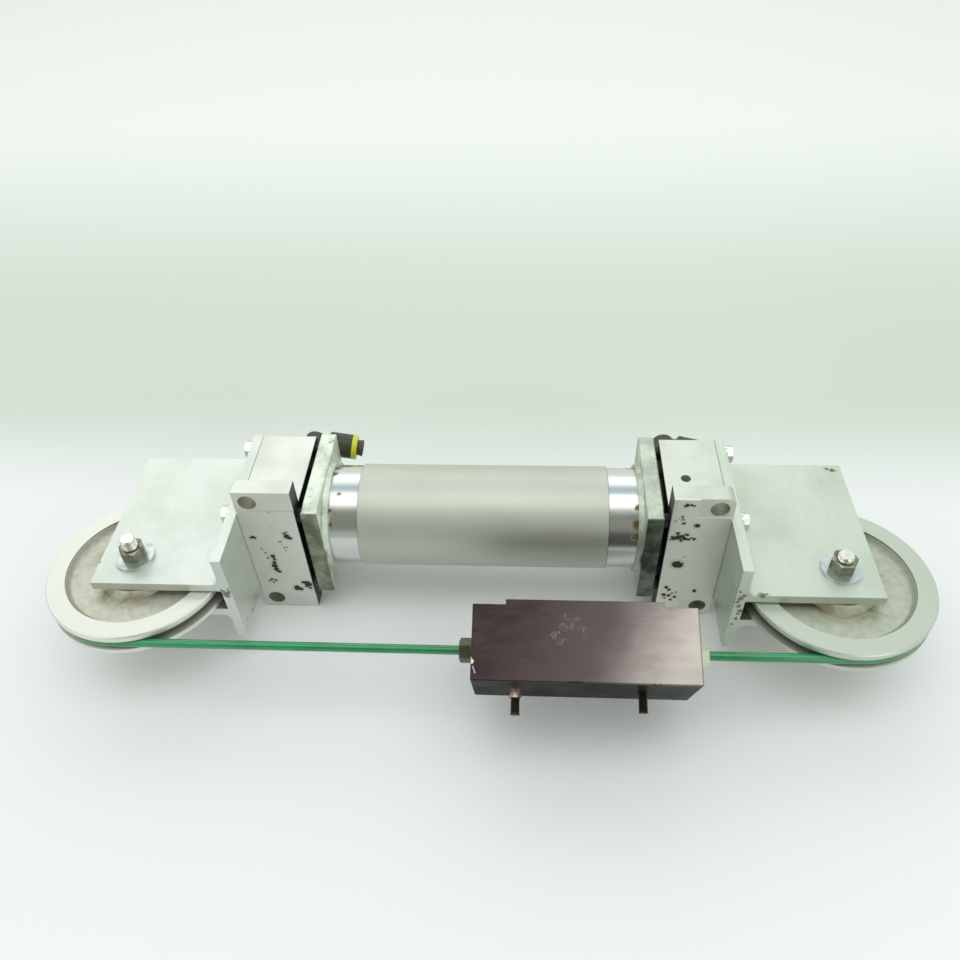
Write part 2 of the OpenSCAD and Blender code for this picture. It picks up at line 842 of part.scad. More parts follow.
module right_piston_seal() piston_seal(0);
module left_cable_socket() cable_socket(1);
module right_cable_socket() cable_socket(0);
module left_elbow_stem() elbow_stem(-x_port);
module right_elbow_stem() elbow_stem(x_port);
module left_elbow() elbow(-x_port, left_droop);
module right_elbow() elbow(x_port, right_droop);
module left_release_ring() release_ring(-x_port, left_droop, left_ring_len);
module right_release_ring() release_ring(x_port, right_droop, right_ring_len);
module left_collet() collet(-x_port, left_droop, left_ring_len, left_lip);
module right_collet() collet(x_port, right_droop, right_ring_len, right_lip);

tube();
left_head();
right_head();
left_tube_seal();
right_tube_seal();
left_face_seal();
right_face_seal();
left_end_block();
right_end_block();
left_bracket();
right_bracket();
left_gland_bush();
right_gland_bush();
left_gland_seal();
right_gland_seal();
left_wiper();
right_wiper();
bracket_bolts();
spring_washers();
axle_bolts();
axle_washers();
axle_nuts();
hub_spacers();
left_inner_races();
right_inner_races();
left_sheave();
right_sheave();
left_outer_races();
right_outer_races();
left_bearing_balls();
right_bearing_balls();
left_cable_wrap();
right_cable_wrap();
left_cable_front();
right_cable_front();
left_cable_inner();
right_cable_inner();
carriage_block();
left_terminal();
right_terminal();
terminal_nuts();
terminal_washers();
carriage_studs();
stud_collar();
piston();
left_piston_seal();
right_piston_seal();
wear_ring();
left_cable_socket();
right_cable_socket();
left_elbow_stem();
right_elbow_stem();
left_elbow();
right_elbow();
left_release_ring();
right_release_ring();
left_collet();
right_collet();
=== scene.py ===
import json
import math
import bmesh
import bpy
from mathutils import Matrix, Vector


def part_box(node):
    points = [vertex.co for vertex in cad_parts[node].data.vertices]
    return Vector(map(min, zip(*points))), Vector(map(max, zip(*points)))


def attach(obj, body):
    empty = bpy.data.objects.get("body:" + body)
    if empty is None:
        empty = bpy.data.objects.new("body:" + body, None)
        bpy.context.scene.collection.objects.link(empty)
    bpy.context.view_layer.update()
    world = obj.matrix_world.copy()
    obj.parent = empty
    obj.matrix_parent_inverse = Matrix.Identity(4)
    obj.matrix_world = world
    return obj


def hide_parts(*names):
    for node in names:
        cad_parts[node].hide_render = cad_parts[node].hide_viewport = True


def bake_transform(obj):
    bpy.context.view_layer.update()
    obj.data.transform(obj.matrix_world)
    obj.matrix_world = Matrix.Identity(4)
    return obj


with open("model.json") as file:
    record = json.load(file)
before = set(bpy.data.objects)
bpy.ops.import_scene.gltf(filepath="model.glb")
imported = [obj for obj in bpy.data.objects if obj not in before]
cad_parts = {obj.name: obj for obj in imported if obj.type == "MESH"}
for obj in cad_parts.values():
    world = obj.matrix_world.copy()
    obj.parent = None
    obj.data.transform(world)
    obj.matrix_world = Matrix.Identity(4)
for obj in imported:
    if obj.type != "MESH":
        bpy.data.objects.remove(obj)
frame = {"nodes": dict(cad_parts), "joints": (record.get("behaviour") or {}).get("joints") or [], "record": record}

mm = 0.001
nodes = frame["nodes"]
mounts = {mount["name"]: mount for mount in frame["record"]["mounts"]}
joints = {joint["name"]: joint for joint in frame["joints"]}
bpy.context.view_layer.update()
nearly = 0.1 * mm  # heights closer than this count as one
weld = 0.001 * mm  # vertices closer than this are merged

cameraSetup = {
    "place": (0.0296, -0.3991, 0.4274),
    "target": (-0.0043, 0.0277, 0.0071),
    "roll": -2.49,  # degrees
    "lens": 31.62,
    "sensor": 36,
}


def makeCamera():
    data = bpy.data.cameras.new("camera")
    data.lens = cameraSetup["lens"]
    data.sensor_width = cameraSetup["sensor"]
    data.clip_start = 0.01
    data.clip_end = 30
    camera = bpy.data.objects.new("camera", data)
    bpy.context.scene.collection.objects.link(camera)
    place = Vector(cameraSetup["place"])
    looking = (Vector(cameraSetup["target"]) - place).to_track_quat("-Z", "Y")
    roll = Matrix.Rotation(math.radians(cameraSetup["roll"]), 4, "Z")
    camera.matrix_world = Matrix.Translation(place) @ looking.to_matrix().to_4x4() @ roll
    bpy.context.scene.camera = camera


lamps = {
    "above": {"place": (0.05, -0.26, 1.9), "aim": (0, 0, 0), "size": (3.4, 1.1), "watts": 13.2},
    "behind": {"place": (-0.4, 1.65, 1.6), "aim": (0, 0, 0), "size": (3.0, 1.4), "watts": 9.9},
    "left": {"place": (-1.3, -1.2, 0.7), "aim": (-0.1, 0, 0), "size": (1.0, 1.0), "watts": 2.4},
    "right": {"place": (1.1, -1.4, 0.7), "aim": (0.1, 0, 0), "size": (1.0, 1.0), "watts": 5.6},
}


def makeLamps():
    for name, lamp in lamps.items():
        data = bpy.data.lights.new(name, "AREA")
        data.shape = "RECTANGLE"
        data.size, data.size_y = lamp["size"]
        data.energy = lamp["watts"]
        light = bpy.data.objects.new(name, data)
        bpy.context.scene.collection.objects.link(light)
        place = Vector(lamp["place"])
        light.location = place
        light.rotation_euler = (Vector(lamp["aim"]) - place).to_track_quat("-Z", "Y").to_euler()


def tone(red, green, blue):
    # a colour as it shows on screen, 0 to 255, made linear for a shader
    def linear(value):
        value /= 255
        return value / 12.92 if value <= 0.04045 else ((value + 0.055) / 1.055) ** 2.4
    return (linear(red), linear(green), linear(blue), 1)


def feed(tree, value, socket):
    if isinstance(value, bpy.types.NodeSocket):
        tree.links.new(value, socket)
    else:
        socket.default_value = value


def addNode(tree, kind, inputs=None, **settings):
    node = tree.nodes.new(kind)
    for name, value in settings.items():
        setattr(node, name, value)
    for name, value in (inputs or {}).items():
        feed(tree, value, node.inputs[name])
    return node


def maths(tree, operation, *values):
    return addNode(tree, "ShaderNodeMath", dict(enumerate(values)), operation=operation).outputs[0]


def vectorMaths(tree, operation, *values, output=0, **named):
    inputs = dict(enumerate(values)) | named
    return addNode(tree, "ShaderNodeVectorMath", inputs, operation=operation).outputs[output]


def product(tree, *values):
    result = values[0]
    for value in values[1:]:
        result = maths(tree, "MULTIPLY", result, value)
    return result


def objectPoint(tree):
    return addNode(tree, "ShaderNodeTexCoord").outputs["Object"]


def placed(tree, point, place=(0, 0, 0), turn=(0, 0, 0), scale=(1, 1, 1)):
    # the point as seen from a place on the piece, turned and then stretched
    moved = vectorMaths(tree, "SUBTRACT", point, place)
    turned = addNode(tree, "ShaderNodeMapping", {"Vector": moved, "Rotation": turn}).outputs[0]
    return vectorMaths(tree, "MULTIPLY", turned, scale)


def axisOf(tree, point, letter):
    return addNode(tree, "ShaderNodeSeparateXYZ", {0: point}).outputs[letter]


def offsetOf(tree, point, letter):
    # how far the point is from the middle plane, on either side
    return maths(tree, "ABSOLUTE", axisOf(tree, point, letter))


def noise(tree, point, scale, detail=4, rough=0.55, twist=0):
    node = addNode(tree, "ShaderNodeTexNoise", {"Vector": point, "Scale": scale, "Detail": detail,
                                                "Roughness": rough, "Distortion": twist})
    return node.outputs["Fac"]


def noise1(tree, value, scale, detail=3):
    node = addNode(tree, "ShaderNodeTexNoise", {"W": value, "Scale": scale, "Detail": detail},
                   noise_dimensions="1D")
    return node.outputs["Fac"]


def remap(tree, value, low, high, newLow=0, newHigh=1):
    node = addNode(tree, "ShaderNodeMapRange", {"Value": value, "From Min": low, "From Max": high,
                                                "To Min": newLow, "To Max": newHigh})
    node.interpolation_type = "SMOOTHSTEP"
    return node.outputs[0]


def mixed(tree, share, first, second):
    node = addNode(tree, "ShaderNodeMix", data_type="RGBA")
    feed(tree, share, node.inputs[0])
    feed(tree, first, node.inputs[6])  # the colour pair of a Mix node
    feed(tree, second, node.inputs[7])
    return node.outputs[2]


def blended(tree, share, first, second):
    # a number that goes from first to second
    inputs = {"Value": share, "To Min": first, "To Max": second}
    return addNode(tree, "ShaderNodeMapRange", inputs).outputs[0]


def bump(tree, height, distance, strength):
    inputs = {"Height": height, "Distance": distance, "Strength": strength}
    return addNode(tree, "ShaderNodeBump", inputs).outputs[0]


def ragged(tree, point, amount, scale):
    # the point pushed about by noise, so that a mark's edge isn't a circle
    node = addNode(tree, "ShaderNodeTexNoise", {"Vector": point, "Scale": scale, "Detail": 3})
    centred = vectorMaths(tree, "SUBTRACT", node.outputs["Color"], (0.5, 0.5, 0.5))
    return vectorMaths(tree, "ADD", point, vectorMaths(tree, "SCALE", centred, Scale=amount))


def markMask(tree, point, marks, soft, growth=1):
    # 1 inside any of the marks, each (x, y, z, radius) in millimetres
    mask = None
    for x, y, z, radius in marks:
        away = vectorMaths(tree, "DISTANCE", point, (x * mm, y * mm, z * mm), output="Value")
        edge = radius * growth * mm
        inside = remap(tree, away, edge * (1 + soft), edge * (1 - soft))
        mask = inside if mask is None else maths(tree, "MAXIMUM", mask, inside)
    return mask


def newMaterial(name):
    material = bpy.data.materials.new(name)
    material.use_nodes = True
    tree = material.node_tree
    tree.nodes.clear()
    output = tree.nodes.new("ShaderNodeOutputMaterial")
    shader = tree.nodes.new("ShaderNodeBsdfPrincipled")
    tree.links.new(shader.outputs["BSDF"], output.inputs["Surface"])
    return material, tree, shader


def setShader(tree, shader, **values):
    names = {"colour": "Base Color", "metal": "Metallic", "rough": "Roughness", "normal": "Normal",
             "coat": "Coat Weight", "coatRough": "Coat Roughness", "level": "Specular IOR Level"}
    for name, value in values.items():
        feed(tree, value, shader.inputs[names[name]])


def finishNode(name, material):
    mesh = nodes[name].data
    mesh.materials.clear()
    mesh.materials.append(material)


stageSetup = {
    "near": tone(234, 236, 237), "far": tone(205, 213, 203), "end": tone(238, 242, 238),
    "front": tone(194, 198, 197),  # under the front lamps, where the floor would be too bright
    "farFrom": 0.05, "farAt": 0.2, "endFrom": 0.27, "endAt": 0.85, "frontFrom": -0.4, "frontAt": -1.0,
    "drop": 0.0005, "reach": 6.0, "rough": 0.4, "level": 0.25,
}


def makeStage():
    low = min(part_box(name)[0].z for name in nodes)
    work = bmesh.new()
    bmesh.ops.create_grid(work, x_segments=1, y_segments=1, size=stageSetup["reach"])
    bmesh.ops.translate(work, verts=work.verts, vec=(0, 0, low - stageSetup["drop"]))
    mesh = bpy.data.meshes.new("floor")
    work.to_mesh(mesh)
    work.free()
    floor = bpy.data.objects.new("floor", mesh)
    bpy.context.scene.collection.objects.link(floor)
    material, tree, shader = newMaterial("floor")
    depth = axisOf(tree, objectPoint(tree), "Y")
    away = remap(tree, depth, stageSetup["farFrom"], stageSetup["farAt"])
    colour = mixed(tree, away, stageSetup["near"], stageSetup["far"])
    atEnd = remap(tree, depth, stageSetup["endFrom"], stageSetup["endAt"])
    colour = mixed(tree, atEnd, colour, stageSetup["end"])
    inFront = remap(tree, depth, stageSetup["frontFrom"], stageSetup["frontAt"])
    colour = mixed(tree, inFront, colour, stageSetup["front"])
    setShader(tree, shader, colour=colour, rough=stageSetup["rough"], level=stageSetup["level"])
    mesh.materials.append(material)


skySetup = {
    "front": tone(196, 200, 195),
    "back": tone(240, 245, 238),
    "high": tone(182, 198, 212),
    "seen": tone(232, 237, 233),
    "patch": tone(112, 115, 104),  # the dim part of the room that the turned rings mirror
    "highUp": (0.74, 0.82), "highBack": (0.10, 0.22), "backFrom": (-0.45, -0.15),
    "patchAcross": (0.42, 0.28), "patchFront": (-0.45, -0.65), "patchUp": (0.02, 0.12),
}


def makeWorld():
    world = bpy.data.worlds.new("surroundings")
    bpy.context.scene.world = world
    world.use_nodes = True
    tree = world.node_tree
    tree.nodes.clear()
    direction = addNode(tree, "ShaderNodeTexCoord").outputs["Generated"]
    across = offsetOf(tree, direction, "X")
    forward = axisOf(tree, direction, "Y")
    upward = axisOf(tree, direction, "Z")
    high = product(tree, remap(tree, upward, *skySetup["highUp"]),
                   remap(tree, forward, *skySetup["highBack"]))
    back = remap(tree, forward, *skySetup["backFrom"])
    patch = product(tree, remap(tree, across, *skySetup["patchAcross"]),
                    remap(tree, forward, *skySetup["patchFront"]),
                    remap(tree, upward, *skySetup["patchUp"]))
    glow = mixed(tree, back, skySetup["front"], skySetup["back"])
    glow = mixed(tree, high, glow, skySetup["high"])
    glow = mixed(tree, patch, glow, skySetup["patch"])
    rays = addNode(tree, "ShaderNodeLightPath")
    colour = mixed(tree, rays.outputs["Is Camera Ray"], glow, skySetup["seen"])
    background = addNode(tree, "ShaderNodeBackground", {"Color": colour, "Strength": 1.0})
    output = tree.nodes.new("ShaderNodeOutputWorld")
    tree.links.new(background.outputs[0], output.inputs["Surface"])


makeCamera()
makeLamps()
makeStage()
makeWorld()
bpy.context.scene.view_settings.view_transform = "Standard"
print("camera, lamps and floor are in place")

tubeFinish = {
    "anodised": tone(204, 208, 196),
    "anodisedDark": tone(196, 200, 188),
    "turned": tone(221, 224, 220),
    "turnedShade": tone(196, 200, 195),
    "grain": tone(120, 124, 116),
    "rubbed": tone(150, 152, 142),
    "lip": tone(96, 96, 86),
    "stain": tone(112, 84, 40),
    "stainGrowth": 1.3,
    "satinRough": 0.55,
    "turnedRough": 0.24,
    "stains": [
        (-103, 20, 27, 2.6), (-100, 13, 31, 2.0), (-95, -12, 32, 1.1), (100, 21, 26, 3.2),
        (-101.3, -22, 26, 1.5), (-101, 5, 33.5, 1.8), (-100, -28, 19, 1.3), (101, -26, 21, 2.6),
        (100.5, -30, 14, 2.2), (101, -18, 28.6, 1.6),
    ],
}


def tubeMaterial():
    material, tree, shader = newMaterial("anodisedTube")
    point = objectPoint(tree)
    along = offsetOf(tree, point, "X")
    turned = remap(tree, along, tubeEdge - 0.15 * mm, tubeEdge + 0.15 * mm)
    cloud = noise(tree, placed(tree, point, scale=(1, 3, 3)), 9, 3)
    grain = noise(tree, point, 2600, 2)
    rubbed = noise(tree, placed(tree, point, scale=(6, 1, 1)), 60, 4, 0.6)
    satin = mixed(tree, remap(tree, cloud, 0.35, 0.65), tubeFinish["anodised"], tubeFinish["anodisedDark"])
    satin = mixed(tree, remap(tree, grain, 0.3, 0.7, 0, 0.10), satin, tubeFinish["grain"])
    satin = mixed(tree, remap(tree, rubbed, 0.62, 0.78, 0, 0.25), satin, tubeFinish["rubbed"])
    rings = noise1(tree, axisOf(tree, point, "X"), 4200)
    ringShade = remap(tree, rings, 0.35, 0.7, 0, 0.6)
    bright = mixed(tree, ringShade, tubeFinish["turned"], tubeFinish["turnedShade"])
    colour = mixed(tree, turned, satin, bright)
    fromLip = maths(tree, "ABSOLUTE", maths(tree, "SUBTRACT", along, tubeEdge))
    colour = mixed(tree, remap(tree, fromLip, 0.5 * mm, 0.1 * mm, 0, 0.55), colour, tubeFinish["lip"])
    loose = ragged(tree, point, 5 * mm, 260)
    stain = markMask(tree, loose, tubeFinish["stains"], 0.5, tubeFinish["stainGrowth"])
    colour = mixed(tree, stain, colour, tubeFinish["stain"])
    setShader(tree, shader, colour=colour, metal=blended(tree, stain, 0.92, 0.1),
              rough=blended(tree, turned, tubeFinish["satinRough"], tubeFinish["turnedRough"]),
              normal=bump(tree, mixed(tree, turned, grain, rings), 0.004 * mm, 0.5))
    return material


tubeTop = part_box("tube")[1].z
tubeEdge = max(abs(vertex.co.x) for vertex in nodes["tube"].data.vertices
               if math.hypot(vertex.co.y, vertex.co.z) > tubeTop - nearly)
finishNode("tube", tubeMaterial())
print("tube is finished")

# the front tones are darker copies of pale and dark: painted shade on the front faces, as the light falls from
# above
headFinish = {
    "left": {"pale": tone(226, 232, 219), "dark": tone(194, 203, 187), "shadedFrontPale": tone(150, 158, 138),
             "shadedFrontDark": tone(104, 110, 90), "offset": (0, 0, 0)},
    "right": {"pale": tone(196, 206, 191), "dark": tone(168, 179, 164), "shadedFrontPale": tone(116, 126, 112),
              "shadedFrontDark": tone(58, 62, 50), "offset": (0.3, 0.1, 0)},
    "pit": tone(70, 66, 44),
    # painted shade for the facing surfaces in the gap between a head and its end block
    "jointShade": tone(30, 28, 22),
    "rim": 3 * mm,
}


def headMaterial(side):
    finish = headFinish[side]
    material, tree, shader = newMaterial(f"{side}Casting")
    point = objectPoint(tree)
    local = placed(tree, point, place=finish["offset"])
    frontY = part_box(f"{side}_head")[0].y
    mottle = noise(tree, local, 70, 5, 0.6, 0.3)
    fine = noise(tree, local, 620, 3, 0.6)
    pits = noise(tree, local, 240, 2, 0.5)
    patchy = remap(tree, mottle, 0.36, 0.66)
    colour = mixed(tree, patchy, finish["pale"], finish["dark"])
    # painted shade: the front faces take the darker front tones
    front = mixed(tree, patchy, finish["shadedFrontPale"], finish["shadedFrontDark"])
    frontShadingMask = remap(tree, axisOf(tree, point, "Y"), frontY + 1.4 * mm, frontY + 0.5 * mm)
    colour = mixed(tree, frontShadingMask, colour, front)
    colour = mixed(tree, remap(tree, fine, 0.45, 0.8, 0, 0.3), colour, finish["shadedFrontDark"])
    pitMask = remap(tree, pits, 0.71, 0.75)
    colour = mixed(tree, product(tree, pitMask, 0.7), colour, headFinish["pit"])
    along = offsetOf(tree, point, "X")
    inShadedJoint = remap(tree, along, jointX - 0.5 * mm, jointX + 0.1 * mm)  # painted shade in the gap to the end block
    colour = mixed(tree, inShadedJoint, colour, headFinish["jointShade"])
    height = maths(tree, "SUBTRACT", fine, pitMask)
    setShader(tree, shader, colour=colour, metal=blended(tree, inShadedJoint, 0.75, 0.1),
              rough=remap(tree, mottle, 0.3, 0.7, 0.38, 0.52), normal=bump(tree, height, 0.02 * mm, 0.5))
    return material


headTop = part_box("right_head")[1].z
jointX = max(abs(vertex.co.x) for vertex in nodes["right_head"].data.vertices
             if abs(vertex.co.z) > headTop - headFinish["rim"])  # the square's edge, not the round pad
for side in ("left", "right"):
    finishNode(f"{side}_head", headMaterial(side))
print("heads are finished")

# front is the tone of each block's front face: painted light on the right block, lighter than its top, and painted
# shade on the left, a little darker than its top
blockFinish = {
    "left": {
        "face": tone(222, 225, 217), "shade": tone(206, 210, 201), "front": tone(216, 219, 211),
        "pit": tone(56, 46, 32),
        "halo": tone(156, 152, 130), "offset": (0, 0, 0),
        "pits": [
            (-151, -38, 16, 1.3), (-149.5, -38, 15.5, 0.8), (-128, -38, 18, 1.6),
            (-126.3, -38, 16, 1.3), (-129, -38, 20.5, 0.8), (-127.5, -38, 21.5, 0.6),
            (-133.3, -38, 12.4, 0.8), (-132.5, -38, 9, 0.4), (-131.6, -38, 6.5, 0.5),
            (-131, -38, 4, 0.6), (-129.5, -38, 7, 0.4), (-147, -38, 5, 0.6), (-146.2, -38, 3, 0.5),
            (-145.5, -38, 0.8, 0.7), (-141, -38, -2.5, 1.4), (-140.8, -38, -5.5, 1.2),
            (-141.4, -38, -9, 1.5), (-142, -38, -12.5, 1.6), (-141.6, -38, -16, 1.8),
            (-140, -38, -18.5, 1.1), (-144.5, -38, -4, 0.7), (-146.5, -38, -27, 1.0),
            (-148.6, -38, -29, 0.9), (-144.2, -38, -28, 1.0), (-146, -38, -30.5, 0.7),
            (-122, -38, -31.5, 2.2), (-125, -38, -30, 1.3), (-121.4, -38, -36, 1.2),
            (-123.4, -38, -34.4, 0.9), (-130.8, -38, -36.5, 1.9), (-128.2, -38, -37.5, 1.3),
            (-135, -38, 40, 0.5), (-137, -38, 27, 0.35),
        ],
    },
    "right": {
        "face": tone(210, 216, 205), "shade": tone(196, 202, 190), "front": tone(234, 238, 228),
        "pit": tone(60, 56, 34),
        "halo": tone(150, 150, 124), "offset": (0.4, 0.1, 0.2),
        "pits": [
            (127, -38, 52, 1.2), (129.5, -38, 52.5, 1.0), (131.5, -38, 51.8, 0.8), (125, -38, 42, 0.7),
            (123.5, -38, 40, 0.6), (126, -38, 39, 0.8), (127, -38, 36, 0.9), (122, -38, 38, 0.5),
            (135.5, -38, 34, 1.4), (124.6, -38, 26.5, 1.2), (122.6, -38, 22, 1.6),
            (125.4, -38, 22.6, 1.9), (120.3, -38, 21, 0.6), (118.6, -38, 19.6, 0.5),
            (128, -38, 23.5, 1.4), (130.5, -38, 25.5, 1.1), (129.4, -38, 21.6, 1.3),
            (131.6, -38, 21, 1.1), (133.4, -38, 22.4, 0.7), (135.4, -38, 21.5, 1.0),
            (127.4, -38, 19.6, 1.0), (127.6, -38, -3.5, 2.6), (129.6, -38, -4.4, 1.9),
            (131.6, -38, -2.8, 0.7), (143, -38, -31, 1.2), (124, -38, -28, 1.2),
            (126.2, -38, -30.4, 1.0), (123, -38, -36, 1.2), (126.6, -38, -36.5, 1.1),
            (130.4, -38, -38, 1.2), (128.6, -38, -41, 0.9), (131, -38, -33, 0.6),
            (124.4, -38, -39.6, 0.9), (128, -38, -34, 0.6), (132, -38, 4, 0.4),
        ],
    },
}
blockMarks = {"pitGrowth": 1.2, "haloGrowth": 1.9, "bore": tone(112, 108, 74)}


def blockMaterial(side, finish):
    material, tree, shader = newMaterial(f"{side}Block")
    point = objectPoint(tree)
    local = placed(tree, point, place=finish["offset"])
    milled = noise(tree, placed(tree, local, scale=(1, 1, 12)), 90, 4, 0.6)
    cloud = noise(tree, local, 24, 4)
    colour = mixed(tree, remap(tree, cloud, 0.4, 0.68), finish["face"], finish["shade"])
    colour = mixed(tree, remap(tree, milled, 0.4, 0.75, 0, 0.25), colour, finish["shade"])
    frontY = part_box(f"{side}_end_block")[0].y
    # painted light and shade: the front face takes its own tone
    frontShadingMask = remap(tree, axisOf(tree, point, "Y"), frontY + 1.4 * mm, frontY + 0.5 * mm, 0, 0.75)
    colour = mixed(tree, frontShadingMask, colour, finish["front"])
    loose = ragged(tree, point, 3.6 * mm, 330)
    pit = markMask(tree, loose, finish["pits"], 0.14, blockMarks["pitGrowth"])
    halo = markMask(tree, loose, finish["pits"], 0.5, blockMarks["haloGrowth"])
    speck = remap(tree, noise(tree, local, 620, 2, 0.5), 0.76, 0.80)
    along = offsetOf(tree, point, "X")
    inShadedJoint = remap(tree, along, blockX + 0.5 * mm, blockX + 0.05 * mm)  # painted shade in the gap to the head
    holes = mounts["flange_holes"]["dims"]
    fromX = maths(tree, "SUBTRACT", along, holes["spacing_x_mm"] / 2 * mm)
    fromZ = maths(tree, "SUBTRACT", offsetOf(tree, point, "Z"), holes["spacing_y_mm"] / 2 * mm)
    away = maths(tree, "SQRT", maths(tree, "ADD", product(tree, fromX, fromX), product(tree, fromZ, fromZ)))
    inHole = remap(tree, away, (holes["hole_r_mm"] + 0.15) * mm, (holes["hole_r_mm"] + 0.02) * mm)
    colour = mixed(tree, product(tree, halo, 0.35), colour, finish["halo"])
    colour = mixed(tree, product(tree, speck, 0.5), colour, finish["halo"])
    colour = mixed(tree, pit, colour, finish["pit"])
    colour = mixed(tree, product(tree, inHole, 0.75), colour, blockMarks["bore"])
    colour = mixed(tree, inShadedJoint, colour, headFinish["jointShade"])
    height = maths(tree, "SUBTRACT", product(tree, milled, 0.12), pit)
    dull = maths(tree, "MAXIMUM", maths(tree, "MAXIMUM", pit, inShadedJoint), product(tree, inHole, 0.6))
    setShader(tree, shader, colour=colour, metal=blended(tree, dull, 0.78, 0.05),
              rough=blended(tree, pit, 0.44, 0.85), normal=bump(tree, height, 0.35 * mm, 0.8))
    return material


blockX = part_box("right_end_block")[0].x
for side, finish in blockFinish.items():
    finishNode(f"{side}_end_block", blockMaterial(side, finish))
print("end blocks are finished")

bracketFinish = {
    "left": {"face": tone(220, 225, 218), "shade": tone(206, 212, 203), "offset": (0, 0, 0),
             "marks": [(-159, -77.5, 8, 1.2), (-161, -77.5, 6.6, 1.3), (-159.6, -77.5, 4.2, 1.1),
                       (-161.8, -77.5, 10, 0.9), (-158, -77.5, 10.6, 0.8), (-246, -60, 15.4, 0.6),
                       (-157.6, -60, -34, 1.0), (-157.4, -70, -30, 0.8)]},
    "right": {"face": tone(206, 215, 201), "shade": tone(190, 199, 184), "offset": (0.5, 0.2, 0),
              "marks": [(172, -77, 15.2, 1.4), (174.5, -76.6, 15.4, 0.6), (160, -77.5, 5, 1.0),
                        (161.5, -77.5, 0, 1.2), (160, -77.5, -8, 0.9), (158.5, -77.5, -14, 0.8),
                        (161, -77.5, -3.5, 0.9), (158, -77.5, 9, 0.9), (159.5, -77.5, 12, 1.1),
                        (161.6, -77.5, 15, 1.0), (158.4, -77.5, 18.5, 0.7), (240, 33.4, 15.4, 1.2),
                        (236.5, 34, 15.4, 0.8), (233, -60, 15.4, 0.9)]},
}
# the near-black brown tone is painted shade in the clevis by the wall
bracketMarks = {"scratch": tone(176, 182, 170), "stain": tone(82, 74, 48), "speck": tone(134, 132, 96),
                "clevisShade": tone(40, 36, 26), "growth": 1.5, "springWasher": 1.6 * mm}


def bracketMaterial(side, finish):
    material, tree, shader = newMaterial(f"{side}Bracket")
    point = objectPoint(tree)
    local = placed(tree, point, place=finish["offset"])
    drawn = noise(tree, placed(tree, local, scale=(30, 1, 30)), 26, 4, 0.65)  # drawing lines, along Y
    cloud = noise(tree, local, 16, 4)
    scratch = noise(tree, placed(tree, local, turn=(0, 0, 0.6), scale=(1, 40, 1)), 40, 2, 0.4, 0.3)
    colour = mixed(tree, remap(tree, cloud, 0.38, 0.7), finish["face"], finish["shade"])
    colour = mixed(tree, remap(tree, drawn, 0.45, 0.8, 0, 0.35), colour, finish["shade"])
    colour = mixed(tree, remap(tree, scratch, 0.66, 0.74, 0, 0.25), colour, bracketMarks["scratch"])
    loose = ragged(tree, point, 4.5 * mm, 420)
    stain = product(tree, markMask(tree, loose, finish["marks"], 0.4, bracketMarks["growth"]), 0.85)
    colour = mixed(tree, stain, colour, bracketMarks["stain"])
    speck = remap(tree, noise(tree, local, 700, 2, 0.5), 0.77, 0.80)
    colour = mixed(tree, product(tree, speck, 0.5), colour, bracketMarks["speck"])
    along = offsetOf(tree, point, "X")
    # painted shade in the clevis: the wall's outer face between the plates and the plates' faces near it
    inClevis = remap(tree, offsetOf(tree, point, "Z"), clevisZ + 0.6 * mm, clevisZ - 0.4 * mm)
    nearWall = product(tree, remap(tree, along, plateX + 20 * mm, plateX + 2 * mm),
                       remap(tree, along, plateX - 0.3 * mm, plateX - 0.05 * mm))
    clevisShadeMask = product(tree, inClevis, nearWall, remap(tree, cloud, 0.2, 0.45, 0.75, 1))
    colour = mixed(tree, clevisShadeMask, colour, bracketMarks["clevisShade"])
    height = maths(tree, "SUBTRACT", product(tree, drawn, 0.5), stain)
    dull = maths(tree, "MAXIMUM", stain, clevisShadeMask)
    setShader(tree, shader, colour=colour, metal=blended(tree, dull, 0.8, 0.1),
              rough=remap(tree, drawn, 0.3, 0.7, 0.40, 0.50), normal=bump(tree, height, 0.05 * mm, 0.7))
    return material


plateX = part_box("spring_washers")[1].x - bracketMarks["springWasher"]  # outer face of the bracket's wall
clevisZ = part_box("hub_spacers")[1].z  # inner faces of the clevis plates
for side, finish in bracketFinish.items():
    finishNode(f"{side}_bracket", bracketMaterial(side, finish))
print("brackets are finished")

sheaveFinish = {
    "left": {"rim": tone(228, 229, 219), "web": tone(208, 207, 192), "seed": (0, 0, 0)},
    "right": {"rim": tone(200, 208, 193), "web": tone(192, 198, 180), "seed": (0.2, 0.3, 0.1)},
}
sheaveZones = {"rimWidth": 12.2, "groove": 8, "hub": 25.8}  # mm, the first two from the edge inwards
# corner and groove are painted shade, in the rim's inside corner and in the cable groove
sheaveMarks = {"rings": tone(174, 176, 166), "rimStain": tone(156, 152, 128), "cast": tone(158, 156, 138),
               "hubStain": tone(122, 108, 76), "corner": tone(96, 92, 70), "groove": tone(52, 48, 36)}


